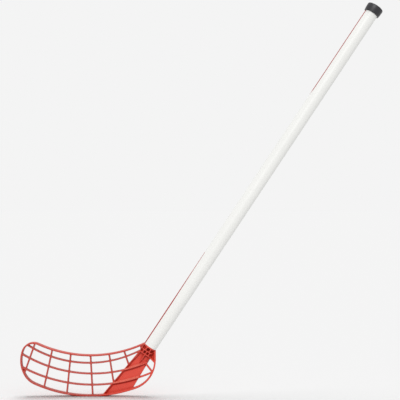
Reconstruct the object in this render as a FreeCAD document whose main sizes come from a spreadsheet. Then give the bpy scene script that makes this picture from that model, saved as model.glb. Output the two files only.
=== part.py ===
import FreeCAD, Part
import math
import os
import Sketcher
from FreeCAD import Placement, Rotation, Vector

# Floorball stick standing on the sole of its blade.
# X runs along the blade towards the heel, Y through its thickness, Z up from the floor.
# The origin is the middle of the flat on the sole. Millimetres and degrees.

DRIVING_SIZES = (
    ("lie_angle", 56.4, "lean of the shaft above the floor"),
    ("shaft_foot_x", 121.3, "centre of the shaft's lower end, along the blade"),
    ("shaft_foot_z", 100.5, "centre of the shaft's lower end, above the floor"),
    ("shaft_diameter", 27.2, "outside of the tube"),
    ("shaft_wall", 2.2, "wall of the tube"),
    ("shaft_length", 810.8, "tube from the blade's shoulder to the end cap"),

    ("rim_width", 3.3, "rim seen from the front"),
    ("rim_depth", 12.0, "rim through the blade"),
    ("bar_width", 2.9, "lattice bar seen from the front"),
    ("bar_depth", 10.0, "lattice bar through the blade"),
    ("web_depth", 2.2, "thin web between the ribs of the neck"),
    ("sole_flat_depth", 0.5, "flat ground off the sole"),

    ("top_rail_low_x", 0.5, "lowest point of the top rail"),
    ("top_rail_low_z", 82.5, "height of that point"),
    ("top_rail_radius", 258, "bow of the top rail"),
    ("upper_bar_low_x", -3.7, "lowest point of the upper long bar"),
    ("upper_bar_low_z", 67.2, "height of that point"),
    ("upper_bar_radius", 229, "bow of the upper long bar"),
    ("middle_bar_low_x", 4.5, "lowest point of the middle long bar"),
    ("middle_bar_low_z", 45.5, "height of that point"),
    ("middle_bar_radius", 276.3, "bow of the middle long bar"),
    ("lower_bar_low_x", 4.5, "lowest point of the lower long bar"),
    ("lower_bar_low_z", 22.9, "height of that point"),
    ("lower_bar_radius", 302.5, "bow of the lower long bar"),
    ("sole_radius", 274.7, "bow of the sole"),

    ("toe_reach", 140.3, "rim of the toe from the middle of the sole"),
    ("toe_radius", 58.7, "round of the toe's nose"),
    ("toe_dip", 3.0, "how far the nose's circle passes under the sole's"),
    ("toe_top_radius", 22.5, "round from the top rail into the nose"),
    ("toe_low_radius", 40.8, "round from the nose into the sole"),
    ("heel_reach", 130.9, "upright rim of the heel from the middle of the sole"),
    ("heel_radius", 58.5, "round from the sole into the heel"),

    ("cross_bar_1_inset", 28.1, "top of the first cross bar, back from the toe's rim"),
    ("cross_bar_1_lean", 19.6, "its lean from upright"),
    ("cross_bar_2_x", -77.3, "top of the second cross bar"),
    ("cross_bar_2_lean", 12.3, "its lean from upright"),
    ("cross_bar_3_x", -39.8, "top of the third cross bar"),
    ("cross_bar_3_lean", 5.6, "its lean from upright"),
    ("cross_bar_4_x", 0.2, "top of the fourth cross bar"),
    ("cross_bar_4_lean", -3.2, "its lean from upright"),
    ("cross_bar_5_x", 37.9, "top of the fifth cross bar"),
    ("cross_bar_5_lean", -8.9, "its lean from upright"),
    ("cross_bar_6_x", 68.2, "top of the sixth cross bar, at the neck"),
    ("cross_bar_6_lean", -18.5, "its lean from upright"),

    ("neck_length", 46, "tapered neck below the shaft"),
    ("neck_straight", 2, "part of the neck that stays round"),
    ("neck_wall", 2.4, "walls and ribs between the neck's pockets"),
    ("first_row_drop", 6.2, "first row of neck pockets below the shaft"),
    ("first_row_pitch", 8.75, "pocket to pocket in the first row"),
    ("first_row_height", 6.0, "pocket of the first row along the shaft"),
    ("second_row_drop", 14.1, "second row of neck pockets below the shaft"),
    ("second_row_pitch", 6.7, "pocket to pocket in the second row"),
    ("second_row_height", 5.6, "pocket of the second row along the shaft"),
    ("field_drop", 19.3, "long neck fields below the shaft"),
    ("front_edge_drop", 24.5, "start of the web's front border below the shaft"),
    ("front_edge_foot_x", 25.9, "foot of that border on the sole"),
    ("rear_edge_drop", 19, "start of the web's rear border below the shaft"),
    ("rear_edge_foot_x", 83.2, "foot of that border on the sole"),
    ("throat_x", 101, "fill between the top rail and the neck, along the blade"),
    ("heel_brace_x", 113.2, "top of the heel brace, on the web's rear border"),
    ("heel_web_z", 68.0, "lower edge of the heel web on the rim"),

    ("peg_length", 58, "blade's peg inside the shaft"),
    ("peg_clearance", 0.05, "radial play of the peg in the tube"),
    ("flute_radius", 5, "flutes along the peg"),

    ("lower_screw_height", 15, "lower blade screw above the shaft's lower end"),
    ("upper_screw_height", 41, "upper blade screw above the shaft's lower end"),
    ("screw_diameter", 3.5, "shank of the blade screws"),
    ("screw_head_diameter", 7, "countersunk head of the blade screws"),
    ("screw_length", 14, "blade screw from head to tip"),
    ("screw_tip", 2.5, "pointed end of the screw"),
    ("screw_tip_diameter", 0.8, "blunt end of the point"),
    ("screw_sink", 0.5, "head below the tube's surface"),
    ("screw_clearance", 0.1, "play of the screw in its holes"),
    ("recess_width", 1.1, "slots of the cross recess"),
    ("recess_length", 4, "cross recess over its slots"),
    ("recess_depth", 1.3, "depth of the cross recess"),

    ("cap_diameter", 34.2, "head of the end cap at its widest"),
    ("cap_foot_diameter", 32.4, "head of the end cap where it meets the shaft"),
    ("cap_flare_height", 9, "part of the head that widens"),
    ("cap_height", 17.3, "head of the end cap along the shaft"),
    ("cap_edge_radius", 2.4, "round over the cap's top edge"),
    ("cap_crown_radius", 150, "gentle dome of the cap's top"),
    ("cap_rim_bevel", 0.6, "bevel on the cap's lower rim"),
    ("plug_length", 30, "plug of the end cap inside the tube"),
    ("plug_play", 0.45, "plug's body short of the tube's bore"),
    ("plug_wall", 2.6, "wall of the hollow plug"),
    ("ring_clearance", 0.06, "radial play of the plug's rings in the tube"),
    ("ring_width", 2.4, "grip rings round the plug"),
    ("ring_pitch", 8, "grip ring to grip ring"),

    ("stripe_thickness", 0.15, "coloured foil on the shaft"),
    ("stripe_bond", 0.02, "glue line under the foil"),
    ("stripe_margin", 0.8, "foil short of the tube's ends"),
    ("lower_stripe_length", 220, "foil above the blade"),
    ("lower_stripe_half_angle", 28.6, "half its wrap round the tube"),
    ("lower_stripe_taper", 122, "length of its narrowing end"),
    ("lower_stripe_tip", 6.1, "width of that end where it is cut off"),
    ("upper_stripe_length", 205, "foil below the end cap"),
    ("upper_stripe_half_angle", 21.7, "half its wrap round the tube"),
    ("upper_stripe_taper", 12, "length of its pointed end"),
    ("upper_stripe_tip", 1.2, "width of that end where it is cut off"),
)

LONG_BARS = ("upper_bar", "middle_bar", "lower_bar")
CROSS_BARS = {                          # what each cross bar ends on
    "cross_bar_1": "nose",
    "cross_bar_2": "sole",
    "cross_bar_3": "sole",
    "cross_bar_4": "sole",
    "cross_bar_5": "front_border",
    "cross_bar_6": "front_border",
}
FIRST_ROW = (-1, 0, 1)                  # pockets of a row, in pitches from the shaft's axis
SECOND_ROW = (-1.5, -0.5, 0.5, 1.5)
FLUTE_ANGLES = (45, 135, 225, 315)
SCREWS = ("lower_screw", "upper_screw")
GRIP_RINGS = 3
TRIM_REACH = 60                         # how far a trimming cut runs past what it trims
WEDGE_DIP = 0.2                         # the neck's taper ends this far under the web's face

doc = FreeCAD.newDocument("floorball_stick")
sheet = doc.addObject("Spreadsheet::Sheet", "Sizes")
for row, (alias, value, meaning) in enumerate(DRIVING_SIZES, start=1):
    sheet.set(f"A{row}", meaning)
    sheet.set(f"B{row}", str(value))
    sheet.setAlias(f"B{row}", alias)
doc.recompute()


def size(alias):
    return float(sheet.get(alias))


# Frame of the shaft: its own Z runs up the shaft, its own X towards the heel side.
shaft_turn = Rotation(Vector(0, 1, 0), 90 - size("lie_angle"))
shaft_foot = Vector(size("shaft_foot_x"), 0, size("shaft_foot_z"))
up_shaft = shaft_turn.multVec(Vector(0, 0, 1))
across_shaft = shaft_turn.multVec(Vector(1, 0, 0))
shaft_radius = size("shaft_diameter") / 2
bore_radius = shaft_radius - size("shaft_wall")
wall_across = shaft_radius - size("neck_wall") / 2      # middle of the neck's outer walls
head_foot = shaft_radius - size("screw_sink") - (size("screw_head_diameter") - size("screw_diameter")) / 2
towards_back = Rotation(Vector(1, 0, 0), -90)           # turns an own Z to the stick's Y

BORE_DIAMETER = "(Sizes.shaft_diameter - 2 * Sizes.shaft_wall)"
HOLE_RADIUS = "(Sizes.screw_diameter / 2 + Sizes.screw_clearance)"
HEAD_DEPTH = "(Sizes.screw_head_diameter - Sizes.screw_diameter) / 2"


def on_shaft(height):
    return Placement(shaft_foot + up_shaft * height, shaft_turn)


# Plane geometry of the blade: a vector's x and y are the stick's X and Z.

def neck_point(drop, across):
    place = shaft_foot - up_shaft * drop + across_shaft * across
    return Vector(place.x, place.z, 0)


def unit(vector):
    return vector / vector.Length


def circle(centre, radius):
    return Part.Circle(centre, Vector(0, 0, 1), radius)


def widened(ring, extra):
    return circle(ring.Center, ring.Radius + extra)


def bowed_rail(name):
    radius = size(name + "_radius")
    return circle(Vector(size(name + "_low_x"), size(name + "_low_z") + radius, 0), radius)


def circles_meet(first, second):
    # The two crossings, the one to the left of the way from first to second coming first.
    gap = second.Center - first.Center
    along = (gap.Length ** 2 + first.Radius ** 2 - second.Radius ** 2) / (2 * gap.Length)
    aside = math.sqrt(first.Radius ** 2 - along ** 2)
    forward = unit(gap)
    left = Vector(-forward.y, forward.x, 0)
    foot = first.Center + forward * along
    return foot + left * aside, foot - left * aside


def line_leaves_circle(start, direction, ring):
    forward = unit(direction)
    to_centre = ring.Center - start
    along = to_centre.dot(forward)
    aside_squared = to_centre.Length ** 2 - along ** 2
    return start + forward * (along + math.sqrt(ring.Radius ** 2 - aside_squared))


def highest_at(ring, x):
    return line_leaves_circle(Vector(x, ring.Center.y, 0), Vector(0, 1, 0), ring)


def lowest_at(ring, x):
    return line_leaves_circle(Vector(x, ring.Center.y, 0), Vector(0, -1, 0), ring)


def leftmost(points):
    return min(points, key=lambda point: point.x)


def rightmost(points):
    return max(points, key=lambda point: point.x)


def lines_meet(first_start, first_end, second_start, second_end):
    first = first_end - first_start
    second = second_end - second_start
    share = (second_start - first_start).cross(second).z / first.cross(second).z
    return first_start + first * share


def touch_point(first, second):
    small, big = sorted((first, second), key=lambda ring: ring.Radius)
    return big.Center + unit(small.Center - big.Center) * big.Radius


# A path is a list of pieces (start, end, centre); a straight piece has no centre.

def moved_left(piece, offset):
    start, end, centre = piece
    forward = unit(end - start)
    left = Vector(-forward.y, forward.x, 0)
    if centre is None:
        return start + left * offset, end + left * offset, None
    radius = (start - centre).Length
    side = math.copysign(1, (centre - start).dot(left))
    scale = (radius - side * offset) / radius
    return centre + (start - centre) * scale, centre + (end - centre) * scale, centre


def drawn(piece):
    start, end, centre = piece
    if centre is None:
        return Part.LineSegment(start, end)
    middle = centre + unit((start + end) / 2 - centre) * (start - centre).Length
    return Part.Arc(start, middle, end)


def band(path, width):
    left_side = [moved_left(piece, width / 2) for piece in path]
    right_side = [moved_left(piece, -width / 2) for piece in path]
    outline = [drawn(piece) for piece in left_side + right_side]
    outline.append(Part.LineSegment(left_side[-1][1], right_side[-1][1]))
    outline.append(Part.LineSegment(right_side[0][0], left_side[0][0]))
    return outline


def polygon(points):
    return [Part.LineSegment(start, end) for start, end in zip(points, points[1:] + points[:1])]


# Features that the bodies share.

def origin_plane(body, role):
    return next(plane for plane in body.Origin.OriginFeatures if plane.Role == role)


def attach(feature, body, role, offset):
    feature.AttachmentSupport = (origin_plane(body, role), "")
    feature.MapMode = "FlatFace"
    feature.AttachmentOffset = offset


def sketch_on(body, name, role, geometry, offset=Placement()):
    sketch = body.newObject("Sketcher::SketchObject", name)
    attach(sketch, body, role, offset)
    sketch.addGeometry(geometry, False)
    return sketch


def circle_sketch(body, name, diameters, offset=Placement()):
    # Circles about the sketch's origin, each diameter bound to a formula.
    sketch = sketch_on(body, name, "XY_Plane", [], offset)
    for index, formula in enumerate(diameters):
        first_radius = index + 1
        sketch.addGeometry(circle(Vector(), first_radius), False)
        sketch.addConstraint(Sketcher.Constraint("Coincident", index, 3, -1, 1))
        diameter = sketch.addConstraint(Sketcher.Constraint("Diameter", index, 2 * first_radius))
        sketch.setExpression(f"Constraints[{diameter}]", formula)
    return sketch


def pad(body, sketch, length, side="One side", against_normal=False):
    feature = body.newObject("PartDesign::Pad", sketch.Name + "_pad")
    feature.Profile = sketch
    feature.SideType = side
    feature.Reversed = against_normal
    feature.setExpression("Length", length)


def cut(body, sketch, length, along_normal=False):
    feature = body.newObject("PartDesign::Pocket", sketch.Name + "_cut")
    feature.Profile = sketch
    feature.Reversed = along_normal
    feature.setExpression("Length", length)


def cut_through(body, sketch):
    feature = body.newObject("PartDesign::Pocket", sketch.Name + "_cut")
    feature.Profile = sketch
    feature.SideType = "Symmetric"
    feature.Type = "ThroughAll"


def revolve(body, sketch):
    feature = body.newObject("PartDesign::Revolution", sketch.Name + "_turned")
    feature.Profile = sketch
    feature.ReferenceAxis = (sketch, ["V_Axis"])
    feature.Angle = 360


def plate(body, name, outline, depth):
    # Flat piece of the blade, centred on the blade's middle plane.
    pad(body, sketch_on(body, name, "XZ_Plane", outline), "Sizes." + depth, "Symmetric")


def back_hole(body, name, kind, place, formulas):
    # Cylinder or cone cut whose own axis points to the stick's back.
    hole = body.newObject("PartDesign::Subtractive" + kind, name)
    attach(hole, body, "XY_Plane", Placement(place, towards_back))
    for dimension, formula in formulas.items():
        hole.setExpression(dimension, formula)


# Blade: one moulding of neck, rim, webs, bars and peg.

def rim_circles():
    sole_low_z = size("rim_width") / 2 - size("sole_flat_depth")
    sole = circle(Vector(0, sole_low_z + size("sole_radius"), 0), size("sole_radius"))
    top_rail = bowed_rail("top_rail")
    nose = nose_circle(sole)
    return {
        "top_rail": top_rail,
        "toe_top": toe_top_circle(top_rail, nose),
        "nose": nose,
        "toe_low": toe_low_circle(nose, sole),
        "sole": sole,
        "heel": heel_circle(sole),
    }


def nose_circle(sole):
    radius = size("toe_radius")
    centre_x = radius - size("toe_reach")
    drop = math.sqrt((sole.Radius - radius + size("toe_dip")) ** 2 - centre_x ** 2)
    return circle(Vector(centre_x, sole.Center.y - drop, 0), radius)


def toe_top_circle(top_rail, nose):
    radius = size("toe_top_radius")
    centres = circles_meet(widened(top_rail, radius), widened(nose, -radius))
    return circle(leftmost(centres), radius)


def toe_low_circle(nose, sole):
    radius = size("toe_low_radius")
    centres = circles_meet(widened(nose, -radius), widened(sole, -radius))
    return circle(leftmost(centres), radius)


def heel_circle(sole):
    radius = size("heel_radius")
    centre_x = size("heel_reach") - radius
    rise = math.sqrt((sole.Radius - radius) ** 2 - centre_x ** 2)
    return circle(Vector(centre_x, sole.Center.y - rise, 0), radius)


def rim_path(rings):
    # From the neck along the top rail, round the toe, along the sole and up the heel.
    names = list(rings)
    start = neck_wall_meets(rings["top_rail"])
    heel_foot = Vector(size("heel_reach"), rings["heel"].Center.y, 0)
    heel_top = Vector(size("heel_reach"), size("shaft_foot_z"), 0)
    turns = [touch_point(rings[first], rings[second]) for first, second in zip(names, names[1:])]
    ends = [start] + turns + [heel_foot]
    path = [(first, second, rings[name].Center) for name, first, second in zip(names, ends, ends[1:])]
    path.append((heel_foot, heel_top, None))
    return path


def neck_wall_meets(rail):
    # Where the neck's front wall, followed down from the shoulder, crosses a rail.
    return line_leaves_circle(neck_point(0, -wall_across), neck_point(1, 0) - neck_point(0, 0), rail)


def build_neck(body):
    neck = circle_sketch(body, "neck", ["Sizes.shaft_diameter"], on_shaft(0))
    pad(body, neck, "Sizes.neck_length", against_normal=True)
    taper_neck(body)
    cut_through(body, sketch_on(body, "neck_pockets", "XZ_Plane", neck_pocket_outlines()))


def taper_neck(body):
    # Two flats that close on the web, drawn in the plane of the shaft's axis and Y.
    end = -size("neck_length")
    end_half_depth = size("web_depth") / 2 - WEDGE_DIP
    slope = (shaft_radius - end_half_depth) / (size("neck_length") - size("neck_straight"))
    outer = shaft_radius + slope * size("neck_straight")
    corners = ((outer, 0), (end_half_depth, end), (end_half_depth, end - TRIM_REACH), (outer, end - TRIM_REACH))
    outlines = []
    for side in (-1, 1):
        outlines += polygon([Vector(side * across, along, 0) for across, along in corners])
    lean = Rotation(Vector(1, 0, 0), 90 - size("lie_angle"))
    place = Placement(Vector(0, shaft_foot.z, shaft_foot.x), lean)
    cut_through(body, sketch_on(body, "neck_taper", "YZ_Plane", outlines, place))


def neck_pocket_outlines():
    outlines = []
    for row, columns in (("first_row", FIRST_ROW), ("second_row", SECOND_ROW)):
        top = size(row + "_drop") - size(row + "_height") / 2
        bottom = size(row + "_drop") + size(row + "_height") / 2
        half_width = (size(row + "_pitch") - size("neck_wall")) / 2
        for column in columns:
            middle = column * size(row + "_pitch")
            outlines += neck_window(top, bottom, middle - half_width, middle + half_width)
    inner = size("neck_wall") / 2
    outer = shaft_radius - size("neck_wall")
    bottom = size("neck_length") + TRIM_REACH
    outlines += neck_window(size("field_drop"), bottom, -outer, -inner)
    outlines += neck_window(size("field_drop"), bottom, inner, outer)
    return outlines


def neck_window(top, bottom, left, right):
    corners = ((top, left), (top, right), (bottom, right), (bottom, left))
    return polygon([neck_point(drop, across) for drop, across in corners])


def build_webs(body, sole, front_border, rear_border, heel_low):
    shoulder_front = neck_point(size("neck_straight"), -wall_across)
    shoulder_rear = neck_point(size("neck_straight"), wall_across)
    front_top, front_foot = front_border
    rear_top, rear_foot = rear_border
    corners = [rear_foot, rear_top, shoulder_rear, shoulder_front, front_top, front_foot]
    outline = polygon(corners)[:-1]
    outline.append(drawn((front_foot, rear_foot, sole.Center)))
    plate(body, "web", outline, "web_depth")
    heel_top = Vector(heel_low.x, shoulder_rear.y, 0)
    plate(body, "heel_web", polygon([shoulder_rear, heel_top, heel_low, rear_top]), "web_depth")


def build_bars(body, rings, front_border, rear_border, heel_low):
    rails = {name: bowed_rail(name) for name in LONG_BARS}
    rear_top, rear_foot = rear_border
    middle_end = line_leaves_circle(rear_top, rear_foot - rear_top, rails["middle_bar"])
    lower_start = leftmost(circles_meet(rails["lower_bar"], rings["nose"]))
    lower_end = rightmost(circles_meet(rails["lower_bar"], rings["heel"]))
    upper_start = leftmost(circles_meet(rails["upper_bar"], rings["toe_top"]))
    middle_start = leftmost(circles_meet(rails["middle_bar"], rings["nose"]))
    upper_end = neck_wall_meets(rails["upper_bar"])
    long_bars = {
        "upper_bar": (upper_start, upper_end),
        "middle_bar": (middle_start, middle_end),
        "lower_bar": (lower_start, lower_end),
    }
    plate_bars(body, "long_bars", [(*ends, rails[name].Center) for name, ends in long_bars.items()])
    cross_bars = {name: cross_bar_ends(name, rings, front_border) for name in CROSS_BARS}
    plate_bars(body, "cross_bars", [(*ends, None) for ends in cross_bars.values()])
    plate_bars(body, "front_edge", [(*front_border, None)])
    plate_bars(body, "rear_edge", [(*rear_border, None)], "web_depth")
    brace_line = Vector(size("heel_brace_x"), 0, 0)
    brace_top = lines_meet(rear_top, rear_foot, brace_line, brace_line + Vector(0, 1, 0))
    plate_bars(body, "heel_bars", [(brace_top, lower_end, None), (rear_top, heel_low, None)])

    throat = [lowest_at(rings["top_rail"], size("throat_x")), neck_wall_meets(rings["top_rail"]), upper_end]
    plate(body, "throat", polygon(throat), "bar_depth")
    toe_top, toe_foot = cross_bars["cross_bar_1"]
    toe_corner = line_leaves_circle(toe_top, toe_foot - toe_top, rails["lower_bar"])
    plate(body, "toe_web", polygon([lower_start, toe_foot, toe_corner]), "web_depth")


def plate_bars(body, name, pieces, depth="bar_depth"):
    outlines = []
    for piece in pieces:
        outlines += band([piece], size("bar_width"))
    plate(body, name, outlines, depth)


def cross_bar_ends(name, rings, front_border):
    lean = math.radians(size(name + "_lean"))
    down = Vector(-math.sin(lean), -math.cos(lean), 0)
    landing = CROSS_BARS[name]
    if landing == "nose":
        top = highest_at(rings["toe_top"], size(name + "_inset") - size("toe_reach"))
    else:
        top = lowest_at(rings["top_rail"], size(name + "_x"))
    if landing == "front_border":
        return top, lines_meet(top, top + down, *front_border)
    return top, line_leaves_circle(top, down, rings[landing])


def build_peg(body):
    pad(body, sketch_on(body, "peg", "XY_Plane", peg_outline(), on_shaft(0)), "Sizes.peg_length")
    pilot_foot = Vector(0, shaft_radius - size("screw_length") - 2 * size("screw_sink"), 0)
    for screw in SCREWS:
        place = on_shaft(size(screw + "_height")).Base + pilot_foot
        formulas = {"Radius": HOLE_RADIUS, "Height": "Sizes.screw_length"}
        back_hole(body, screw + "_pilot", "Cylinder", place, formulas)


def peg_outline():
    # Round peg with a hollow flute between each two of its lands.
    peg = circle(Vector(), bore_radius - size("peg_clearance"))
    turns = [Rotation(Vector(0, 0, 1), angle) for angle in FLUTE_ANGLES]
    flutes = [circle(turn.multVec(Vector(peg.Radius, 0, 0)), size("flute_radius")) for turn in turns]
    outline = []
    last_corner, _ = circles_meet(peg, flutes[-1])
    for flute in flutes:
        next_corner, first_corner = circles_meet(peg, flute)
        outline.append(drawn((last_corner, first_corner, peg.Center)))
        outline.append(drawn((first_corner, next_corner, flute.Center)))
        last_corner = next_corner
    return outline


def build_blade():
    body = doc.addObject("PartDesign::Body", "blade")
    rings = rim_circles()
    front_top = neck_point(size("front_edge_drop"), -wall_across)
    front_border = (front_top, lowest_at(rings["sole"], size("front_edge_foot_x")))
    rear_top = neck_point(size("rear_edge_drop"), wall_across)
    rear_border = (rear_top, lowest_at(rings["sole"], size("rear_edge_foot_x")))
    heel_low = Vector(size("heel_reach"), size("heel_web_z"), 0)
    build_neck(body)
    plate(body, "rim", band(rim_path(rings), size("rim_width")), "rim_depth")
    build_webs(body, rings["sole"], front_border, rear_border, heel_low)
    build_bars(body, rings, front_border, rear_border, heel_low)
    cut(body, circle_sketch(body, "sole_flat", ["Sizes.toe_reach"]), "Sizes.rim_width")
    shoulder = circle_sketch(body, "shoulder", ["4 * Sizes.shaft_diameter"], on_shaft(0))
    cut(body, shoulder, "2 * Sizes.shaft_diameter", along_normal=True)
    build_peg(body)
    return body


# Shaft: a plain tube with two countersunk holes at the back of its lower end.

def build_shaft_tube():
    body = doc.addObject("PartDesign::Body", "shaft_tube")
    wall = circle_sketch(body, "wall", ["Sizes.shaft_diameter", BORE_DIAMETER])
    pad(body, wall, "Sizes.shaft_length")
    depth = f"{HEAD_DEPTH} + 2 * Sizes.screw_sink"
    sunk = {"Radius1": HOLE_RADIUS, "Radius2": f"{HOLE_RADIUS} + {depth}", "Height": depth}
    hole = {"Radius": HOLE_RADIUS, "Height": "Sizes.shaft_diameter"}
    for screw in SCREWS:
        height = size(screw + "_height")
        back_hole(body, screw + "_hole", "Cylinder", Vector(0, 0, height), hole)
        back_hole(body, screw + "_countersink", "Cone", Vector(0, head_foot, height), sunk)
    body.Placement = on_shaft(0)
    return body


# Blade screws: two alike, cross recess, head under the tube's surface.

def build_screw(name):
    body = doc.addObject("PartDesign::Body", name)
    head = size("screw_head_diameter") / 2
    shank = size("screw_diameter") / 2
    length = size("screw_length")
    profile = [
        Vector(0, 0, 0),
        Vector(head, 0, 0),
        Vector(shank, shank - head, 0),
        Vector(shank, size("screw_tip") - length, 0),
        Vector(size("screw_tip_diameter") / 2, -length, 0),
        Vector(0, -length, 0),
    ]
    revolve(body, sketch_on(body, name + "_profile", "XZ_Plane", polygon(profile)))
    recess = sketch_on(body, name + "_recess", "XY_Plane", cross_outline())
    cut(body, recess, "Sizes.recess_depth")
    place = on_shaft(size(name + "_height")).Base
    place += Vector(0, shaft_radius - size("screw_sink"), 0)
    body.Placement = Placement(place, towards_back)
    return body


def cross_outline():
    half_length = size("recess_length") / 2
    half_width = size("recess_width") / 2
    arm = ((half_length, -half_width), (half_length, half_width), (half_width, half_width))
    corners = []
    for angle in (0, 90, 180, 270):
        turn = Rotation(Vector(0, 0, 1), angle)
        corners += [turn.multVec(Vector(along, aside, 0)) for along, aside in arm]
    return polygon(corners)


def build_blade_screws():
    screws = doc.addObject("Part::Compound", "blade_screws")
    screws.Links = [build_screw(screw) for screw in SCREWS]
    return screws


# End cap: flared, domed head on the tube's end, hollow plug with grip rings inside it.

def build_end_cap():
    body = doc.addObject("PartDesign::Body", "end_cap")
    outline = polygon(plug_corners() + cap_side_corners())[:-1]
    crown_centre = Vector(0, size("cap_height") - size("cap_crown_radius"), 0)
    edge_centre = cap_edge_centre(crown_centre)
    side_top = edge_centre + Vector(size("cap_edge_radius"), 0, 0)
    crown_edge = crown_centre + unit(edge_centre - crown_centre) * size("cap_crown_radius")
    crown_top = Vector(0, size("cap_height"), 0)
    outline.append(Part.LineSegment(cap_side_corners()[-1], side_top))
    outline.append(drawn((side_top, crown_edge, edge_centre)))
    outline.append(drawn((crown_edge, crown_top, crown_centre)))
    outline.append(Part.LineSegment(crown_top, plug_corners()[0]))
    revolve(body, sketch_on(body, "cap_profile", "XZ_Plane", outline))
    body.Placement = on_shaft(size("shaft_length"))
    return body


def cap_edge_centre(crown_centre):
    # Centre of the round that runs smoothly from the side into the crown.
    across = size("cap_diameter") / 2 - size("cap_edge_radius")
    reach = size("cap_crown_radius") - size("cap_edge_radius")
    return Vector(across, crown_centre.y + math.sqrt(reach ** 2 - across ** 2), 0)


def plug_corners():
    # From the hollow's roof on the axis, down inside the plug and up its ringed outside.
    plug_radius = bore_radius - size("plug_play")
    inner_radius = plug_radius - size("plug_wall")
    ring_radius = bore_radius - size("ring_clearance")
    ring_rise = ring_radius - plug_radius
    foot = -size("plug_length")
    corners = [(0, 0), (inner_radius, 0), (inner_radius, foot), (plug_radius, foot)]
    for ring in range(GRIP_RINGS, 0, -1):
        low = -ring * size("ring_pitch") - size("ring_width") / 2
        high = low + size("ring_width")
        corners += [(plug_radius, low), (ring_radius, low + ring_rise)]
        corners += [(ring_radius, high - ring_rise), (plug_radius, high)]
    corners.append((plug_radius, 0))
    return [Vector(across, along, 0) for across, along in corners]


def cap_side_corners():
    foot_radius = size("cap_foot_diameter") / 2
    bevel = size("cap_rim_bevel")
    widest = Vector(size("cap_diameter") / 2, size("cap_flare_height"), 0)
    return [Vector(foot_radius - bevel, 0, 0), Vector(foot_radius, bevel, 0), widest]


# Stripes: thin foils on the side of the shaft that faces up and towards the toe.

def build_stripe(name, place):
    body = doc.addObject("PartDesign::Body", name)
    half_angle = size(name + "_half_angle")
    length = size(name + "_length")
    inner = shaft_radius + size("stripe_bond")
    outer = inner + size("stripe_thickness")
    start, middle, end = (Vector(-math.cos(turn), math.sin(turn), 0)
                          for turn in map(math.radians, (-half_angle, 0, half_angle)))
    section = [
        Part.Arc(start * outer, middle * outer, end * outer),
        Part.LineSegment(end * outer, end * inner),
        Part.Arc(end * inner, middle * inner, start * inner),
        Part.LineSegment(start * inner, start * outer),
    ]
    pad(body, sketch_on(body, name + "_section", "XY_Plane", section), f"Sizes.{name}_length")
    half_width = outer * math.sin(math.radians(half_angle))
    half_tip = size(name + "_tip") / 2
    shoulder = length - size(name + "_taper")
    point = [(half_width, shoulder), (half_tip, length), (-half_tip, length), (-half_width, shoulder)]
    waste = [(-outer, shoulder), (-outer, length + TRIM_REACH), (outer, length + TRIM_REACH), (outer, shoulder)]
    corners = [Vector(across, along, 0) for across, along in point + waste]
    cut_through(body, sketch_on(body, name + "_point", "YZ_Plane", polygon(corners)))
    body.Placement = place
    return body


def build_stripes():
    lower = build_stripe("lower_stripe", on_shaft(size("stripe_margin")))
    upper_place = on_shaft(size("shaft_length") - size("stripe_margin"))
    upside_down = Placement(Vector(), Rotation(Vector(1, 0, 0), 180))
    return [lower, build_stripe("upper_stripe", upper_place * upside_down)]


# Build, check and write one file for each sub-part.

sub_parts = [build_shaft_tube(), build_blade(), build_blade_screws(), build_end_cap()] + build_stripes()
doc.recompute()

for item in doc.Objects:
    if "Invalid" in item.State or "Error" in item.State:
        raise ValueError(f"{item.Label} did not compute")

os.makedirs("parts", exist_ok=True)
for sub_part in sub_parts:
    shape = sub_part.Shape
    if shape.isNull() or not shape.isValid():
        raise ValueError(f"{sub_part.Label} has no sound shape")
    print(sub_part.Label, len(shape.Solids), "solids", round(shape.Volume), "mm3")
    shape.exportStep(f"parts/{sub_part.Label}.step")
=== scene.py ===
import math

import bmesh
import bpy
from mathutils import Matrix, Vector


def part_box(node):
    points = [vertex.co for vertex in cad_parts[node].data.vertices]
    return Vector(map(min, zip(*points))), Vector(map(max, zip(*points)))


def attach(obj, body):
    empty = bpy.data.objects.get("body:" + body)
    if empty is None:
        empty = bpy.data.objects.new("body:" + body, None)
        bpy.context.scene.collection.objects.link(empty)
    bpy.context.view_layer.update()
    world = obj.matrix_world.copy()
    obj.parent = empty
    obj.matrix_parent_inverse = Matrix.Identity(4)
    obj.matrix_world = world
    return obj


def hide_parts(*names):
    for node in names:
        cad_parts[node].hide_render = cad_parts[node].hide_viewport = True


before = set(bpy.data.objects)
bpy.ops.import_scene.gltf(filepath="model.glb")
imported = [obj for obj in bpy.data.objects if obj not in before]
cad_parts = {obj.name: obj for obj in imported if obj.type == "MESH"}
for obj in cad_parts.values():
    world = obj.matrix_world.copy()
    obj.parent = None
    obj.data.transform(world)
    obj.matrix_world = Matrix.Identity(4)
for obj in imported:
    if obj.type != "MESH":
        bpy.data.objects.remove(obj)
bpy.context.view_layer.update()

scene = bpy.context.scene
scene.view_settings.view_transform = "Standard"
mm = 0.001
sharpAngle = 35                     # degrees, edges sharper than this stay crisp
softAngle = 180                     # none does
print("frame: nodes", sorted(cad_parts))


# shaft's own frame: z up the shaft, x towards the heel
stick = {
    "lie": 56.4,                    # degrees above the floor
    "foot": (121.3, 0.0, 100.5),    # mm, centre of the tube's lower end
    "length": 810.8,
    "radius": 13.6,
    "bore": 11.4,                   # inner radius
}


def shaftFrame(height):
    lie = math.radians(stick["lie"])
    along = Vector((math.cos(lie), 0, math.sin(lie)))
    across = Vector((math.sin(lie), 0, -math.cos(lie)))
    axes = Matrix((across, (0, 1, 0), along)).transposed().to_4x4()
    return Matrix.Translation((Vector(stick["foot"]) + along * height) * mm) @ axes


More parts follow.
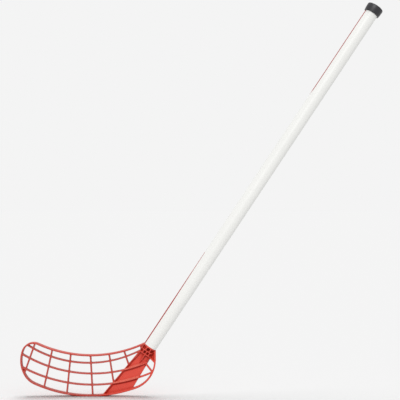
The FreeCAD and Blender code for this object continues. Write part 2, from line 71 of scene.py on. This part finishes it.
def linear(hexColour):
    # sRGB hex to the linear colour that shaders take
    parts = [int(hexColour[i:i + 2], 16) / 255 for i in (1, 3, 5)]
    return [c / 12.92 if c <= 0.04045 else ((c + 0.055) / 1.055) ** 2.4 for c in parts] + [1.0]


# sockets of a Mix node that mixes colours
mixShare, mixA, mixB, mixed = 0, 6, 7, 2


def addNode(tree, kind, settings=None, links=None):
    node = tree.nodes.new(kind)
    for key, value in (settings or {}).items():
        if isinstance(key, int) or key in node.inputs:
            node.inputs[key].default_value = value
        else:
            setattr(node, key, value)
    for key, source in (links or {}).items():
        tree.links.new(source, node.inputs[key])
    return node


def startMaterial(name):
    material = bpy.data.materials.new(name)
    material.use_nodes = True
    tree = material.node_tree
    tree.nodes.clear()
    place = addNode(tree, "ShaderNodeTexCoord").outputs["Object"]
    return material, tree, place


def endMaterial(tree, shader):
    addNode(tree, "ShaderNodeOutputMaterial", links={"Surface": shader.outputs[0]})


# camera square on to the blade, at half the stick's height
view = {"place": (222.3, -1857.45, 397.6), "lens": 82.35, "sensor": 36.0, "farthest": 200}  # farthest in m
cameraData = bpy.data.cameras.new("camera")
cameraData.lens = view["lens"]
cameraData.sensor_width = view["sensor"]
cameraData.clip_end = view["farthest"]
camera = bpy.data.objects.new("camera", cameraData)
camera.location = Vector(view["place"]) * mm
camera.rotation_euler = (math.radians(90), 0, 0)
scene.collection.objects.link(camera)
scene.camera = camera
print("camera: lens", view["lens"])


# white two-pack lacquer, sprayed over a wound fibre tube
# a clean, slightly soft gloss with faint orange peel and a little dulling where it is handled
lacquer = {
    "white": "#eaeae7",
    "shade": "#e4e4e1",
    "peel": 2.5,                    # mm, orange peel
    "peelDepth": 0.1,               # mm
    "peelStrength": 0.008,
    "rubbed": 60.0,                 # mm, dulled patches
    "rough": (0.42, 0.54),          # clean, dulled
    "coat": 0.05, "coatRough": 0.25,
}


def makeLacquer():
    material, tree, place = startMaterial("whiteLacquerSprayed")
    patches = addNode(tree, "ShaderNodeTexNoise",
                      {"Scale": 1 / (lacquer["rubbed"] * mm), "Detail": 3.0}, {"Vector": place})
    colour = addNode(tree, "ShaderNodeMix",
                     {"data_type": "RGBA", mixA: linear(lacquer["white"]), mixB: linear(lacquer["shade"])},
                     {mixShare: patches.outputs["Fac"]})
    clean, dulled = lacquer["rough"]
    rough = addNode(tree, "ShaderNodeMapRange", {"To Min": clean, "To Max": dulled},
                    {"Value": patches.outputs["Fac"]})
    peel = addNode(tree, "ShaderNodeTexNoise",
                   {"Scale": 1 / (lacquer["peel"] * mm), "Detail": 1.0}, {"Vector": place})
    bump = addNode(tree, "ShaderNodeBump",
                   {"Strength": lacquer["peelStrength"], "Distance": lacquer["peelDepth"] * mm},
                   {"Height": peel.outputs["Fac"]})
    shader = addNode(tree, "ShaderNodeBsdfPrincipled",
                     {"IOR": 1.5, "Coat Weight": lacquer["coat"], "Coat Roughness": lacquer["coatRough"]},
                     {"Base Color": colour.outputs[mixed], "Roughness": rough.outputs[0],
                      "Normal": bump.outputs[0]})
    endMaterial(tree, shader)
    return material


# red high-density polyethylene, injection-moulded in a spark-eroded mould
# a waxy satin red with a fine pebble grain, painted paler on edges and rib crests as highlights, and painted
# darker in corners, on undersides and over the lattice as shade
polyethylene = {
    "red": "#da4330",
    "deep": "#cf3a27",
    # painted highlight on edges and rib crests
    "paintedHighlight": "#e67c68",
    # painted shade over the lattice's bars
    "latticeShade": "#783c36",
    # painted shade, in corners and on undersides
    "paintedShade": "#880904",
    "flow": 25.0,                   # mm, streaks left as the mould filled
    "grain": 0.7,                   # mm, drawn coarser than the real 0.1 mm so that it shows
    "grainDepth": 0.15,             # mm
    "grainStrength": 0.12,
    "rough": (0.38, 0.52),
    "latticeShadeRange": (26.0, 12.0),     # mm along the sole, where the painted shade starts and is full
    "latticeShadeLean": 0.9,               # how far both move towards the heel with height
    "latticeShadeShare": 0.36,
    "edgeHighlightRange": (0.515, 0.57),     # pointiness, where the painted highlight starts and is full
    "edgeHighlightShare": 0.3,
    "undersideShadeRange": (-0.1, -0.6),     # how far a side faces down, where the painted shade starts and is full
    "undersideShadeShare": 0.75,
    "upFacingRange": (0.1, 0.5),       # how far a side faces up, where the painted shade starts to fade and is gone
    "corner": 6.0,                  # mm, how far the painted shade reaches out of a corner
    "cornerShadeRange": (0.6, 0.88),     # openness, where the painted shade is full and ends
    "cornerShadeShare": 0.55,
    "depthRange": (0.3, 0.7),       # openness of deep pockets
    "depthShare": 0.1,
    "sheenShadeRange": (0.5, 0.95),       # openness, where the sheen is lost and whole, a painted shade on the reflection
    "sheen": (0.05, 0.5),
}


def makePolyethylene():
    material, tree, place = startMaterial("redPolyethyleneMoulded")
    flow = addNode(tree, "ShaderNodeTexNoise",
                   {"Scale": 1 / (polyethylene["flow"] * mm), "Detail": 4.0, "Distortion": 0.6},
                   {"Vector": place})
    body = addNode(tree, "ShaderNodeMix", {"data_type": "RGBA", mixA: linear(polyethylene["red"]),
                                           mixB: linear(polyethylene["deep"])},
                   {mixShare: flow.outputs["Fac"]})
    # painted shade: the lattice is laid over with a darker red, while the neck's web and its ribs keep the
    # body red
    axes = addNode(tree, "ShaderNodeSeparateXYZ", None, {0: place})
    toeward = addNode(tree, "ShaderNodeMath", {"operation": "MULTIPLY_ADD", 1: -polyethylene["latticeShadeLean"]},
                      {0: axes.outputs["Z"], 2: axes.outputs["X"]})
    start, full = polyethylene["latticeShadeRange"]
    latticeShadeMask = addNode(tree, "ShaderNodeMapRange",
                    {"From Min": start * mm, "From Max": full * mm, "To Max": polyethylene["latticeShadeShare"]},
                    {"Value": toeward.outputs[0]})
    body = addNode(tree, "ShaderNodeMix", {"data_type": "RGBA", mixB: linear(polyethylene["latticeShade"])},
                   {mixShare: latticeShadeMask.outputs[0], mixA: body.outputs[mixed]})
    # painted highlight: sharp edges are lightened towards a pale red
    edge = addNode(tree, "ShaderNodeNewGeometry").outputs["Pointiness"]
    start, full = polyethylene["edgeHighlightRange"]
    edgeHighlight = addNode(tree, "ShaderNodeMapRange",
                   {"From Min": start, "From Max": full, "To Max": polyethylene["edgeHighlightShare"]},
                   {"Value": edge})
    edged = addNode(tree, "ShaderNodeMix", {"data_type": "RGBA", mixB: linear(polyethylene["paintedHighlight"])},
                    {mixShare: edgeHighlight.outputs[0], mixA: body.outputs[mixed]})
    # painted highlight: a pale line along the crests of the web's ribs
    rubbed = addNode(tree, "ShaderNodeAttribute", {"attribute_name": "ribCrestHighlight"})
    edged = addNode(tree, "ShaderNodeMix", {"data_type": "RGBA", mixB: linear(polyethylene["paintedHighlight"])},
                    {mixShare: rubbed.outputs["Fac"], mixA: edged.outputs[mixed]})
    # painted shade: sides that face down are darkened
    facing = addNode(tree, "ShaderNodeTexCoord").outputs["Normal"]
    facing = addNode(tree, "ShaderNodeSeparateXYZ", None, {0: facing})
    start, full = polyethylene["undersideShadeRange"]
    undersideShade = addNode(tree, "ShaderNodeMapRange",
                    {"From Min": start, "From Max": full, "To Max": polyethylene["undersideShadeShare"]},
                    {"Value": facing.outputs["Z"]})
    edged = addNode(tree, "ShaderNodeMix", {"data_type": "RGBA", mixB: linear(polyethylene["paintedShade"])},
                    {mixShare: undersideShade.outputs[0], mixA: edged.outputs[mixed]})
    # painted shade in corners, kept weak deep in the pockets, and none on sides that face up
    corner = addNode(tree, "ShaderNodeAmbientOcclusion",
                     {"samples": 8, "Distance": polyethylene["corner"] * mm})
    full, end = polyethylene["cornerShadeRange"]
    paintedShade = addNode(tree, "ShaderNodeMapRange",
                   {"From Min": full, "From Max": end, "To Min": polyethylene["cornerShadeShare"], "To Max": 0.0},
                   {"Value": corner.outputs["AO"]})
    deep, shallow = polyethylene["depthRange"]
    reach = addNode(tree, "ShaderNodeMapRange",
                    {"From Min": deep, "From Max": shallow, "To Min": polyethylene["depthShare"]},
                    {"Value": corner.outputs["AO"]})
    paintedShade = addNode(tree, "ShaderNodeMath", {"operation": "MULTIPLY"},
                   {0: paintedShade.outputs[0], 1: reach.outputs[0]})
    start, full = polyethylene["upFacingRange"]
    upFacing = addNode(tree, "ShaderNodeMapRange",
                    {"From Min": start, "From Max": full, "To Min": 1.0, "To Max": 0.0},
                    {"Value": facing.outputs["Z"]})
    paintedShade = addNode(tree, "ShaderNodeMath", {"operation": "MULTIPLY"},
                   {0: paintedShade.outputs[0], 1: upFacing.outputs[0]})
    colour = addNode(tree, "ShaderNodeMix", {"data_type": "RGBA", mixB: linear(polyethylene["paintedShade"])},
                     {mixShare: paintedShade.outputs[0], mixA: edged.outputs[mixed]})
    grain = addNode(tree, "ShaderNodeTexNoise",
                    {"Scale": 1 / (polyethylene["grain"] * mm), "Detail": 2.0}, {"Vector": place})
    smoothest, roughest = polyethylene["rough"]
    rough = addNode(tree, "ShaderNodeMapRange", {"To Min": smoothest, "To Max": roughest},
                    {"Value": grain.outputs["Fac"]})
    bump = addNode(tree, "ShaderNodeBump",
                   {"Strength": polyethylene["grainStrength"], "Distance": polyethylene["grainDepth"] * mm},
                   {"Height": grain.outputs["Fac"]})
    # painted shade on the reflection: the sheen is lowered where the surface is hidden, so pockets lose their
    # sheen
    lost, whole = polyethylene["sheenShadeRange"]
    dull, shiny = polyethylene["sheen"]
    sheen = addNode(tree, "ShaderNodeMapRange",
                    {"From Min": lost, "From Max": whole, "To Min": dull, "To Max": shiny},
                    {"Value": corner.outputs["AO"]})
    shader = addNode(tree, "ShaderNodeBsdfPrincipled", {"IOR": 1.52},
                     {"Base Color": colour.outputs[mixed], "Roughness": rough.outputs[0],
                      "Specular IOR Level": sheen.outputs[0], "Normal": bump.outputs[0]})
    endMaterial(tree, shader)
    return material


# black rubber, compression-moulded
# charcoal rather than black, with a broad dull sheen and a fine gritty skin
rubber = {
    "black": "#151318",
    "dusty": "#211f25",
    "grit": 0.8,                    # mm
    "gritDepth": 0.1,               # mm
    "gritStrength": 0.2,
    "bloom": 9.0,                   # mm, pale bloom that rubber grows
    "rough": (0.38, 0.50),
}


def makeRubber():
    material, tree, place = startMaterial("blackRubberMoulded")
    bloom = addNode(tree, "ShaderNodeTexNoise",
                    {"Scale": 1 / (rubber["bloom"] * mm), "Detail": 5.0}, {"Vector": place})
    colour = addNode(tree, "ShaderNodeMix",
                     {"data_type": "RGBA", mixA: linear(rubber["black"]), mixB: linear(rubber["dusty"])},
                     {mixShare: bloom.outputs["Fac"]})
    grit = addNode(tree, "ShaderNodeTexNoise",
                   {"Scale": 1 / (rubber["grit"] * mm), "Detail": 3.0}, {"Vector": place})
    smoothest, roughest = rubber["rough"]
    rough = addNode(tree, "ShaderNodeMapRange", {"To Min": smoothest, "To Max": roughest},
                    {"Value": grit.outputs["Fac"]})
    bump = addNode(tree, "ShaderNodeBump",
                   {"Strength": rubber["gritStrength"], "Distance": rubber["gritDepth"] * mm},
                   {"Height": grit.outputs["Fac"]})
    shader = addNode(tree, "ShaderNodeBsdfPrincipled", {"IOR": 1.52},
                     {"Base Color": colour.outputs[mixed], "Roughness": rough.outputs[0],
                      "Normal": bump.outputs[0]})
    endMaterial(tree, shader)
    return material


# red vinyl film, screen-printed and lacquered over
# a flat dark red, duller than the tube, with tiny gaps in the ink
vinyl = {
    "red": "#9d1c14",
    "thin": "#a6271d",
    "ink": 1.2,                     # mm, mottle
    "rough": (0.55, 0.7),
    "sheen": 0.1,
}


def makeVinyl():
    material, tree, place = startMaterial("redVinylPrinted")
    mottle = addNode(tree, "ShaderNodeTexNoise",
                     {"Scale": 1 / (vinyl["ink"] * mm), "Detail": 4.0}, {"Vector": place})
    colour = addNode(tree, "ShaderNodeMix",
                     {"data_type": "RGBA", mixA: linear(vinyl["red"]), mixB: linear(vinyl["thin"])},
                     {mixShare: mottle.outputs["Fac"]})
    smoothest, roughest = vinyl["rough"]
    rough = addNode(tree, "ShaderNodeMapRange", {"To Min": smoothest, "To Max": roughest},
                    {"Value": mottle.outputs["Fac"]})
    shader = addNode(tree, "ShaderNodeBsdfPrincipled", {"IOR": 1.45, "Specular IOR Level": vinyl["sheen"]},
                     {"Base Color": colour.outputs[mixed], "Roughness": rough.outputs[0]})
    endMaterial(tree, shader)
    return material


# steel with bright zinc plating, barrel-plated
# grey metal with a slightly cloudy shine
zinc = {
    "bright": "#b9babd",
    "cloudy": "#9c9da1",
    "cloud": 1.5,                   # mm
    "rough": (0.25, 0.45),
}


def makeZinc():
    material, tree, place = startMaterial("zincPlatedSteel")
    cloud = addNode(tree, "ShaderNodeTexNoise",
                    {"Scale": 1 / (zinc["cloud"] * mm), "Detail": 4.0}, {"Vector": place})
    colour = addNode(tree, "ShaderNodeMix",
                     {"data_type": "RGBA", mixA: linear(zinc["bright"]), mixB: linear(zinc["cloudy"])},
                     {mixShare: cloud.outputs["Fac"]})
    smoothest, roughest = zinc["rough"]
    rough = addNode(tree, "ShaderNodeMapRange", {"To Min": smoothest, "To Max": roughest},
                    {"Value": cloud.outputs["Fac"]})
    shader = addNode(tree, "ShaderNodeBsdfPrincipled", {"Metallic": 1.0},
                     {"Base Color": colour.outputs[mixed], "Roughness": rough.outputs[0]})
    endMaterial(tree, shader)
    return material


def finishMesh(bm, name, material, place=None):
    bmesh.ops.recalc_face_normals(bm, faces=bm.faces)
    mesh = bpy.data.meshes.new(name)
    bm.to_mesh(mesh)
    bm.free()
    if place is not None:
        mesh.transform(place)
    mesh.shade_smooth()
    mesh.set_sharp_from_angle(angle=math.radians(sharpAngle))
    mesh.materials.append(material)
    piece = bpy.data.objects.new(name, mesh)
    scene.collection.objects.link(piece)
    return piece


def applyModifiers(piece, sharp):
    graph = bpy.context.evaluated_depsgraph_get()
    mesh = bpy.data.meshes.new_from_object(piece.evaluated_get(graph))
    piece.modifiers.clear()
    piece.data = mesh
    mesh.shade_smooth()
    mesh.set_sharp_from_angle(angle=math.radians(sharp))


def turned(profile, steps):
    # closed outline of (radius, height) in mm, turned about the height axis
    bm = bmesh.new()
    rings = []
    for radius, height in profile:
        count = 1 if radius == 0 else steps
        turns = [2 * math.pi * i / steps for i in range(count)]
        rings.append([bm.verts.new((radius * math.cos(a) * mm, radius * math.sin(a) * mm, height * mm))
                      for a in turns])
    for low, high in zip(rings, rings[1:] + rings[:1]):
        if len(low) == len(high) == 1:
            continue
        for i in range(steps):
            j = (i + 1) % steps
            corners = [low[i % len(low)], low[j % len(low)], high[j % len(high)], high[i % len(high)]]
            bm.faces.new(list(dict.fromkeys(corners)))
    return bm


def rounded(corners, fanSteps=6):
    # (radius, height, round) corners, each round drawn with a short fan of points
    points = []
    count = len(corners)
    for i, (x, y, size) in enumerate(corners):
        here = Vector((x, y))
        if size == 0:
            points.append((x, y))
            continue
        before = (Vector(corners[i - 1][:2]) - here).normalized()
        after = (Vector(corners[(i + 1) % count][:2]) - here).normalized()
        half = before.angle(after) / 2
        centre = here + (before + after).normalized() * size / math.sin(half)
        start = here + before * size / math.tan(half) - centre
        end = here + after * size / math.tan(half) - centre
        sweep = start.angle_signed(end)
        for step in range(fanSteps + 1):
            turn = -sweep * step / fanSteps
            c, s = math.cos(turn), math.sin(turn)
            points.append((centre.x + start.x * c - start.y * s, centre.y + start.x * s + start.y * c))
    return points


# shaft tube with deburred ends and two countersunk holes at the back, in mm
tube = {
    "steps": 128,
    "edge": 0.35,
    "screwHeights": (15.0, 41.0),
    "holeBands": (8.0, 22.0, 34.0, 48.0),       # extra rings of points beside the holes
    "hole": 1.85, "sunk": 4.1,                  # radii
    "sunkFloor": 11.35, "sunkOver": 1.0,        # cone's foot from the shaft's axis, and how far it overshoots
    "drillSteps": 48,
}


def makeShaft(material):
    top, outer, inner, edge = stick["length"], stick["radius"], stick["bore"], tube["edge"]
    bands = tube["holeBands"]
    corners = [(inner, 0, edge), (outer, 0, edge)] + [(outer, band, 0) for band in bands]
    corners += [(outer, top, edge), (inner, top, edge), (inner, bands[-1], 0), (inner, bands[0], 0)]
    shaft = finishMesh(turned(rounded(corners), tube["steps"]), "shaftTube", material)
    coneRadius = tube["sunk"] + tube["sunkOver"]
    coneTop = tube["sunkFloor"] + coneRadius - tube["hole"]
    drill = [(0, 0), (tube["hole"], 0), (tube["hole"], tube["sunkFloor"]),
             (coneRadius, coneTop), (0, coneTop)]
    for height in tube["screwHeights"]:
        aim = Matrix.Translation((0, 0, height * mm)) @ Matrix.Rotation(math.radians(-90), 4, "X")
        cutter = finishMesh(turned(drill, tube["drillSteps"]), "drill", material, aim)
        cut = shaft.modifiers.new("hole", "BOOLEAN")
        cut.operation = "DIFFERENCE"
        cut.solver = "EXACT"
        cut.object = cutter
        applyModifiers(shaft, sharpAngle)
        bpy.data.objects.remove(cutter)
    shaft.data.transform(shaftFrame(0))
    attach(shaft, "stick")
    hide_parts("shaft_tube")


# blade: the solid's own shape with the soft edges and fillets of a moulding
moulding = {
    "weld": 0.001,                  # mm, points nearer than this are one
    "voxel": 0.5,                   # mm
    "softness": 0.5, "softSteps": 14,
}

# the web's ribs slope off on their lower sides, in mm
ribs = {
    "half": 5.0, "web": 1.1,                                # heights from the blade's middle
    "slope": 1.05, "steep": 6.0, "upperSide": 1.45,         # lower side, upper side, where that stands
    "bows": ((4.5, 45.5, 276.3), (4.5, 22.9, 302.5)),       # lowest point and radius of the long ribs
    "edgeFoot": (25.9, 2.4), "edgeTop": (97.3, 87.1),       # front edge, sole to neck
    "rearFoot": (83.2, 14.0), "rearTop": (121.1, 77.8),     # rear edge
    "crest": 0.6,                                           # front edge's crest, left of its middle
    "sole": (275.85, 272.6),                                # sole's centre, radius of the rim's inside
    "neckFade": (32.0, 14.0), "rearFade": (1.0, 3.0),       # where the slopes set in, over how much
    "rubbed": 0.85, "crestHighlightAt": -1.9, "crestHighlightHalf": 2.4,    # share, place and half width of the painted crest highlight
}


def rightOf(point, foot, top):
    # distance of a point to the right of the line from foot to top
    run = (Vector(top) - Vector(foot)).normalized()
    away = Vector(point) - Vector(foot)
    return away.x * run.y - away.y * run.x


def slopeRibs(mesh):
    shaft = shaftFrame(0).inverted()
    neckStart, neckRun = ribs["neckFade"]
    rearStart, rearRun = ribs["rearFade"]
    soleHeight, soleRadius = ribs["sole"]
    crests = mesh.attributes.new("ribCrestHighlight", "FLOAT", "POINT").data
    for vertex in mesh.vertices:
        x, y, z = vertex.co / mm
        front = rightOf((x, z), ribs["edgeFoot"], ribs["edgeTop"]) + ribs["crest"]
        rear = rightOf((x, z), ribs["rearFoot"], ribs["rearTop"])
        drop = -(shaft @ vertex.co).z / mm
        share = min((drop - neckStart) / neckRun, (rearStart - rear) / rearRun, 1)
        if share <= 0 or front < 0 or math.hypot(x, z - soleHeight) > soleRadius:
            continue
        height = max(ribs["web"], ribs["half"] - ribs["slope"] * front)
        # rubbed: share of the painted highlight along a rib's crest
        rubbed = 0
        for bowX, bowZ, radius in ribs["bows"]:
            below = math.hypot(x - bowX, z - bowZ - radius) - radius
            fall = max(ribs["slope"] * below, -ribs["steep"] * (below + ribs["upperSide"]), 0)
            height = max(height, ribs["half"] - fall)
            rubbed = max(rubbed, 1 - abs(below - ribs["crestHighlightAt"]) / ribs["crestHighlightHalf"])
        crests[vertex.index].value = rubbed * share * ribs["rubbed"]
        vertex.co.y = math.copysign(abs(y) * (1 - share) + height * share, y) * mm


def makeBlade(material):
    bm = bmesh.new()
    bm.from_mesh(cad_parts["blade"].data)
    bmesh.ops.remove_doubles(bm, verts=bm.verts, dist=moulding["weld"] * mm)
    blade = finishMesh(bm, "bladeMoulding", material)
    remesh = blade.modifiers.new("skin", "REMESH")
    remesh.mode = "VOXEL"
    remesh.voxel_size = moulding["voxel"] * mm
    applyModifiers(blade, softAngle)
    slopeRibs(blade.data)
    soften = blade.modifiers.new("soften", "SMOOTH")
    soften.factor = moulding["softness"]
    soften.iterations = moulding["softSteps"]
    applyModifiers(blade, softAngle)
    low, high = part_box("blade")
    for vertex in blade.data.vertices:
        for axis in range(3):
            vertex.co[axis] = min(max(vertex.co[axis], low[axis]), high[axis])
    blade.data.materials.clear()
    blade.data.materials.append(material)
    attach(blade, "stick")
    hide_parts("blade")
    return blade


# end cap: flared side, low dome, rolled edges, hollow plug with three grip rings, in mm
cap = {
    "radius": 17.09, "height": 17.3, "edge": 2.4, "crown": 150.0,       # crown is the dome's radius
    "footRadius": 16.2, "rim": 0.6, "flare": 9.0, "flareRound": 20.0,
    "plugRadius": 10.95, "plugWall": 2.6, "plugLength": 30.0,
    "plugRound": 0.6, "floorRound": 0.5, "shoulderRound": 0.2,
    "ringRadius": 11.34, "ringWidth": 2.4, "ringPitch": 8.0, "rings": 3,
    "ringRound": 0.2, "ringFoot": 0.1,
    "steps": 128, "arcSteps": 8,
}


def makeCap(material):
    side, edge, crown, steps = cap["radius"], cap["edge"], cap["crown"], cap["arcSteps"]
    plug, plugEnd = cap["plugRadius"], -cap["plugLength"]
    inner = plug - cap["plugWall"]
    corners = [(0, 0, 0), (inner, 0, cap["floorRound"]), (inner, plugEnd, cap["plugRound"]),
               (plug, plugEnd, cap["plugRound"])]
    rise = cap["ringRadius"] - plug
    for ring in range(cap["rings"], 0, -1):
        low = -ring * cap["ringPitch"] - cap["ringWidth"] / 2
        high = low + cap["ringWidth"]
        corners += [(plug, low, cap["ringFoot"]), (cap["ringRadius"], low + rise, cap["ringRound"]),
                    (cap["ringRadius"], high - rise, cap["ringRound"]), (plug, high, cap["ringFoot"])]
    corners += [(plug, 0, cap["shoulderRound"]), (cap["footRadius"], 0, cap["rim"]),
                (side, cap["flare"], cap["flareRound"]), (side, cap["height"], 0)]
    profile = rounded(corners)[:-1]
    crownFoot = cap["height"] - crown
    edgeAcross = side - edge
    edgeUp = crownFoot + math.sqrt((crown - edge) ** 2 - edgeAcross ** 2)
    lean = math.asin(edgeAcross / (crown - edge))
    for step in range(steps + 1):
        turn = (math.pi / 2 - lean) * step / steps
        profile.append((edgeAcross + edge * math.cos(turn), edgeUp + edge * math.sin(turn)))
    for step in range(1, steps + 1):
        turn = lean * (1 - step / steps)
        profile.append((crown * math.sin(turn), crownFoot + crown * math.cos(turn)))
    piece = finishMesh(turned(profile, cap["steps"]), "endCap", material, shaftFrame(stick["length"]))
    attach(piece, "cap")
    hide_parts("end_cap")


# stripes: thin foil sheets bent round the tube's upper-left side, narrower at the free end, in mm
foils = {
    "lowerStripe": {"node": "lower_stripe", "up": True, "length": 220.0, "halfAngle": 28.6,
                    "taper": 122.0, "tip": 3.05},       # tip is half the free end's width
    "upperStripe": {"node": "upper_stripe", "up": False, "length": 205.0, "halfAngle": 21.7,
                    "taper": 12.0, "tip": 0.6},
}
foilSheet = {"lift": 0.02, "thickness": 0.15, "margin": 0.8, "columns": 24, "rows": 40}


def makeStripe(name, material):
    foil = foils[name]
    columns, rows = foilSheet["columns"], foilSheet["rows"]
    inner = stick["radius"] + foilSheet["lift"]
    outer = inner + foilSheet["thickness"]
    widest = outer * math.sin(math.radians(foil["halfAngle"]))
    shoulder = foil["length"] - foil["taper"]
    heights = [0.0] + [shoulder + foil["taper"] * i / rows for i in range(rows + 1)]
    bm = bmesh.new()
    grids = []
    for radius in (inner, outer):
        grid = []
        for height in heights:
            share = max(height - shoulder, 0) / foil["taper"]
            half = math.asin((widest + (foil["tip"] - widest) * share) / outer)
            turns = [half * (2 * i / columns - 1) for i in range(columns + 1)]
            grid.append([bm.verts.new((-radius * math.cos(a) * mm, radius * math.sin(a) * mm, height * mm))
                         for a in turns])
        grids.append(grid)
    below, above = grids
    for grid in grids:
        for low, high in zip(grid, grid[1:]):
            for i in range(columns):
                bm.faces.new((low[i], low[i + 1], high[i + 1], high[i]))
    last = len(heights) - 1
    edge = [(0, i) for i in range(columns + 1)] + [(j, columns) for j in range(1, last + 1)]
    edge += [(last, i) for i in range(columns - 1, -1, -1)] + [(j, 0) for j in range(last - 1, 0, -1)]
    for (j, i), (m, n) in zip(edge, edge[1:] + edge[:1]):
        bm.faces.new((below[j][i], below[m][n], above[m][n], above[j][i]))
    if foil["up"]:
        place = shaftFrame(foilSheet["margin"])
    else:
        place = shaftFrame(stick["length"] - foilSheet["margin"]) @ Matrix.Rotation(math.pi, 4, "X")
    piece = finishMesh(bm, name, material, place)
    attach(piece, "stick")
    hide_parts(foil["node"])


def dressScrews(material):
    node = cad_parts["blade_screws"]
    node.data.materials.clear()
    node.data.materials.append(material)


makeShaft(makeLacquer())
print("shaft tube made")
blade = makeBlade(makePolyethylene())
print("blade made:", len(blade.data.polygons), "faces")
makeCap(makeRubber())
vinylFilm = makeVinyl()
for name in foils:
    makeStripe(name, vinylFilm)
dressScrews(makeZinc())
print("cap, stripes and screws made")


# seamless white paper under and behind the stick, lit evenly
studio = {
    "paper": "#fafafa",
    "backdrop": "#f4f4f4",          # what the camera sees above the paper's edge
    "sky": 0.45,                    # strength of the fill from all round
    "top": {"power": 1.6, "spread": 34, "aim": (0.02, 0.2, 0.98)},
    "front": {"power": 1.5, "spread": 30, "aim": (-0.12, -0.84, 0.52)},
    "floorSize": 60.0,              # m
    "floorParts": 4,
}


def makeFloor():
    bm = bmesh.new()
    parts = studio["floorParts"]
    bmesh.ops.create_grid(bm, x_segments=parts, y_segments=parts, size=studio["floorSize"] / 2)
    material, tree, _ = startMaterial("seamlessPaper")      # matt white, so that only the shadow shows
    shader = addNode(tree, "ShaderNodeBsdfDiffuse", {"Color": linear(studio["paper"])})
    endMaterial(tree, shader)
    floor = finishMesh(bm, "floor", material)
    return floor


def makeWorld():
    world = bpy.data.worlds.new("studio")
    world.use_nodes = True
    scene.world = world
    tree = world.node_tree
    tree.nodes.clear()
    path = addNode(tree, "ShaderNodeLightPath")
    seen = addNode(tree, "ShaderNodeMath", {"operation": "MAXIMUM"},
                   {0: path.outputs["Is Camera Ray"], 1: path.outputs["Is Glossy Ray"]})
    seen = addNode(tree, "ShaderNodeMath", {"operation": "MAXIMUM"},
                   {0: seen.outputs[0], 1: path.outputs["Is Transmission Ray"]})
    fill = addNode(tree, "ShaderNodeBackground", {"Color": (1, 1, 1, 1), "Strength": studio["sky"]})
    shown = addNode(tree, "ShaderNodeBackground",
                    {"Color": linear(studio["backdrop"]), "Strength": 1.0})
    both = addNode(tree, "ShaderNodeMixShader", None,
                   {0: seen.outputs[0], 1: fill.outputs[0], 2: shown.outputs[0]})
    addNode(tree, "ShaderNodeOutputWorld", links={"Surface": both.outputs[0]})


def makeLamp(name, unlit=None):
    lamp = studio[name]
    data = bpy.data.lights.new(name, "SUN")
    data.energy = lamp["power"]
    data.angle = math.radians(lamp["spread"])
    light = bpy.data.objects.new(name, data)
    light.rotation_euler = Vector(lamp["aim"]).to_track_quat("Z", "Y").to_euler()
    scene.collection.objects.link(light)
    if unlit:       # the front lamp is flagged off the paper, where it would throw a second shadow
        flagged = bpy.data.collections.new(name + "Flagged")
        flagged.objects.link(unlit)
        light.light_linking.receiver_collection = flagged
        flagged.collection_objects[0].light_linking.link_state = "EXCLUDE"


floor = makeFloor()
makeWorld()
makeLamp("top")
makeLamp("front", floor)
print("studio set")
